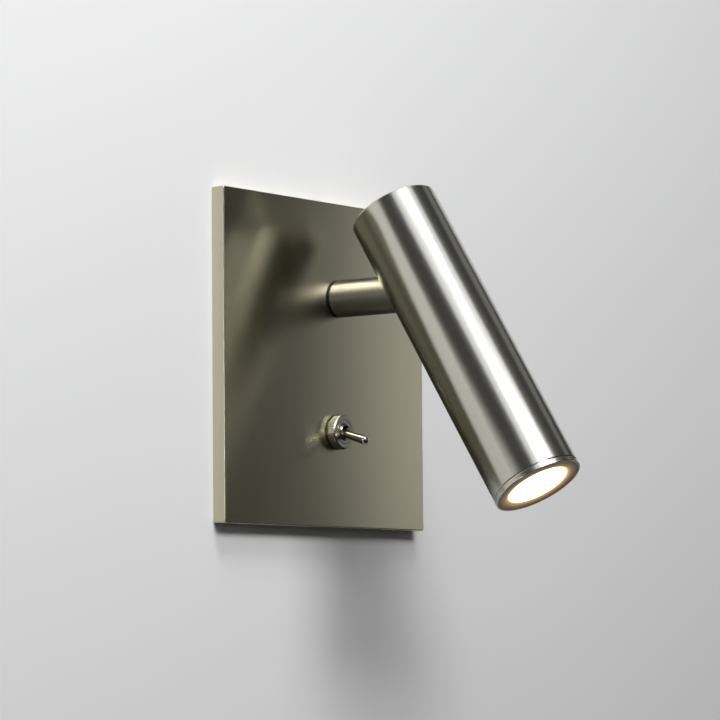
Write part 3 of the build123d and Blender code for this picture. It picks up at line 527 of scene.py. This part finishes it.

# %% [markdown]
# ## Paint for the wall and the floor
#
# The photograph's wall darkens towards the right, where less light reaches it, and a tint that
# fades along X paints that shade on without one more lamp. The paint shows from its front only,
# so the lamp can also be looked at from behind.
# The floor is pale to the camera and dark as lit, so it throws no light up onto the underside of
# the head.

# %% Wall and floor paint
def shade_fading_paint(name, near, far, start, end):
    """Matt paint, seen from its front only, fading between two tints along X as painted shade."""
    paint = blank(name)
    place = add(paint, "ShaderNodeTexCoord").outputs["Object"]
    along = add(paint, "ShaderNodeSeparateXYZ", {"Vector": place}).outputs["X"]
    tint = ramp(paint, along, start, end, [(start, near), (end, far)])
    matt = add(paint, "ShaderNodeBsdfPrincipled",
               {"Base Color": tint, "Roughness": 0.9, "Specular IOR Level": 0.0})
    facing = add(paint, "ShaderNodeNewGeometry").outputs["Backfacing"]
    clear = add(paint, "ShaderNodeBsdfTransparent")
    one_sided = add(paint, "ShaderNodeMixShader",
                    {0: facing, 1: matt.outputs[0], 2: clear.outputs[0]})
    return finish_with(paint, one_sided)


def seen_paint(name, seen, lit):
    """Matt paint with one tint for the camera and another for the light it throws back."""
    paint = blank(name)
    camera_ray = add(paint, "ShaderNodeLightPath").outputs["Is Camera Ray"]
    tint = ramp(paint, camera_ray, 0, 1, [(0, lit), (1, seen)])
    return finish_with(paint, add(paint, "ShaderNodeBsdfDiffuse", {"Color": tint}))


# The wall is painted darker towards the right, as the shade where its light falls off.
wall_paint = shade_fading_paint("wall_paint", "#FAFAFA", "#EEEEEE", start=-0.20, end=0.30)
floor_paint = seen_paint("floor_paint", seen="#E4E4E4", lit="#3A3A3A")
print("paints:", wall_paint.name, floor_paint.name)

# %% [markdown]
# ## The wall and the floor
#
# The wall catches the shadows, it is what the head's pale stripe mirrors, and it is the background.
# It could be a cube or a plane. Here it is one flat sheet, with an opening behind the plate for the
# pieces that reach into the wall. It ends a little to the left of the lamp, because a wider wall
# would show in the metal there. The floor lies far below.

# %% The wall and the floor
def backdrop(name, paint, outer, inner=None):
    """One flat sheet of the studio, with an opening in it where inner corners are given."""
    sheet = bmesh.new()
    outside = [sheet.verts.new(c) for c in outer]
    if inner:
        inside = [sheet.verts.new(c) for c in inner]
        for k in range(4):
            after = k - 3                    # the next corner, and after the last one the first
            sheet.faces.new([outside[k], outside[after], inside[after], inside[k]])
    else:
        sheet.faces.new(outside)
    mesh = bpy.data.meshes.new(name)
    sheet.to_mesh(mesh)
    sheet.free()
    made = bpy.data.objects.new(name, mesh)
    mesh.materials.append(paint)
    scene.collection.objects.link(made)
    return made


def upright(left, right, bottom, top):
    """Corners of a rectangle in the wall's plane, in metres."""
    return [(left, 0, bottom), (right, 0, bottom), (right, 0, top), (left, 0, top)]


opening, floor_level = 0.056, -1.2
wall = backdrop("wall", wall_paint, upright(left=-0.22, right=0.80, bottom=-0.6, top=0.9),
                upright(-opening, opening, -opening, opening))
floor = backdrop("floor", floor_paint, [(-2, -3, floor_level), (2, -3, floor_level),
                                        (2, 1, floor_level), (-2, 1, floor_level)])
print("wall and floor:", len(wall.data.polygons) + len(floor.data.polygons), "faces")

# %% [markdown]
# ## The camera
#
# The camera stands where the photographer's did. Its place, direction, roll and lens came from a
# least squares fit to the outlines of the plate, the arm and the head, which agrees to about half a
# pixel. A Blender camera looks along its own -Z with its own +Y upwards, so its matrix is built
# from three directions: right, up and backwards. That is safer than three angles, whose order is
# easy to get wrong.

# %% The camera
photo_yaw, photo_pitch, photo_roll = radians(53.347), radians(4.938), radians(0.5165)
photo_lens, film_width = 172.98, 36
photo_place = Vector((-1009.91, -772.06, -108.22)) * mm
forward = Vector((sin(photo_yaw) * cos(photo_pitch), cos(photo_yaw) * cos(photo_pitch),
                  sin(photo_pitch)))
level_right = Vector((cos(photo_yaw), -sin(photo_yaw), 0))
level_down = forward.cross(level_right)
right = level_right * cos(photo_roll) + level_down * sin(photo_roll)
down = level_down * cos(photo_roll) - level_right * sin(photo_roll)
lens_data = bpy.data.cameras.new("photo_camera")
lens_data.lens = photo_lens
lens_data.sensor_width = film_width
camera = bpy.data.objects.new("photo_camera", lens_data)
camera.matrix_world = (Matrix.Translation(photo_place)
                       @ Matrix((right, -down, -forward)).transposed().to_4x4())
scene.collection.objects.link(camera)
scene.camera = camera
print("camera stands", round(photo_place.length, 2), "m from the plate's centre")

# %% [markdown]
# ## Light
#
# Satin metal shows the room as much as itself, so each stripe on it is one thing in the room. The
# head is a cylinder: its white stripe is a long softbox above, its pale one is the wall, and the
# dark ones are the unlit room between. Light can be set by eye, but on metal it is quicker to ask
# where a point's mirror direction goes, and to put a lamp or leave a gap there.
#
# - key_box and top_box light the wall and cast the soft shadows, from where neither the plate nor
#   the head mirrors them towards the camera. They also draw the bright line along the arm.
# - stripe_box is the head's white stripe. It leans so that the stripe stays even from end to end.
# - left_box and front_card lift the head's left side, and right_card its right edge.
# - left_card is small and near, and lights the back of the head. The plate mirrors that as the
#   light streak beside the head's dark mirror image.
# - low_right_card is what the right half of the plate mirrors.

# %% Softboxes
aim = Vector((0, -0.04, 0))                  # the lamp's middle, 40 mm out from the wall


def softbox(name, azimuth, elevation, size, brightness, lean=0.0, distance=1.4, tint="#FFFFFF"):
    """A flat lamp facing the object; azimuth 0 is straight out of the wall, plus to the right."""
    turn, rise = radians(azimuth), radians(elevation)
    out = Vector((sin(turn) * cos(rise), -cos(turn) * cos(rise), sin(rise)))
    data = bpy.data.lights.new(name, "AREA")
    data.shape = "RECTANGLE"
    data.size, data.size_y = size
    data.energy = brightness * pi * size[0] * size[1]
    data.color = colour(tint)[:3]
    box = bpy.data.objects.new(name, data)
    box.matrix_world = (Matrix.Translation(aim + out * distance)
                        @ out.to_track_quat("Z", "Y").to_matrix().to_4x4()
                        @ Matrix.Rotation(radians(lean), 4, "Z"))
    scene.collection.objects.link(box)


softbox("key_box", -15, 36, (0.75, 0.33), 10.8, distance=1.15)
softbox("top_box", -35, 66, (0.50, 0.28), 14.5, distance=1.15)
softbox("stripe_box", -27, 51.5, (1.33, 0.42), 1.02, lean=14.5, tint="#EDF1FF")
softbox("left_box", -48, 29, (0.45, 0.30), 1.2)
softbox("front_card", -52, 4, (0.40, 0.30), 0.4)
softbox("left_card", -88, 0, (0.10, 0.10), 10.5, distance=0.6)
softbox("right_card", 72, 36, (0.45, 0.40), 0.18)
softbox("low_right_card", 67, 6, (0.20, 0.30), 0.66, distance=0.6)

# %% [markdown]
# ## The room around
#
# Whatever no softbox covers is mirrored from the world. It could be one grey, but then the dark
# stripes of the head would go milky. So the world is dim on the room's side and pale behind the
# wall, for the views from behind, and it changes with how far a direction points at the wall. The
# camera sees an even pale grey in its place, so the outline of the lamp stays clear from every
# side.

# %% World and view
world = bpy.data.worlds.new("dim_room")
world.use_nodes = True
world.node_tree.nodes.clear()
scene.world = world
direction = add(world, "ShaderNodeTexCoord").outputs["Generated"]
towards_wall = add(world, "ShaderNodeSeparateXYZ", {"Vector": direction}).outputs["Y"]
dim_until, pale_from = 0.12, 0.4
room = ramp(world, towards_wall, -1, 1, [(dim_until, "#3A3A3A"), (pale_from, "#CCCCCC")])
dim = add(world, "ShaderNodeBackground", {"Color": room})
pale = add(world, "ShaderNodeBackground", {"Color": colour("#D8D8D8")})
seen = add(world, "ShaderNodeLightPath").outputs["Is Camera Ray"]
either = add(world, "ShaderNodeMixShader", {0: seen, 1: dim.outputs[0], 2: pale.outputs[0]})
add(world, "ShaderNodeOutputWorld", {"Surface": either.outputs[0]})
scene.view_settings.view_transform = "Standard"
print("world:", world.name, "with", len(world.node_tree.nodes), "nodes")
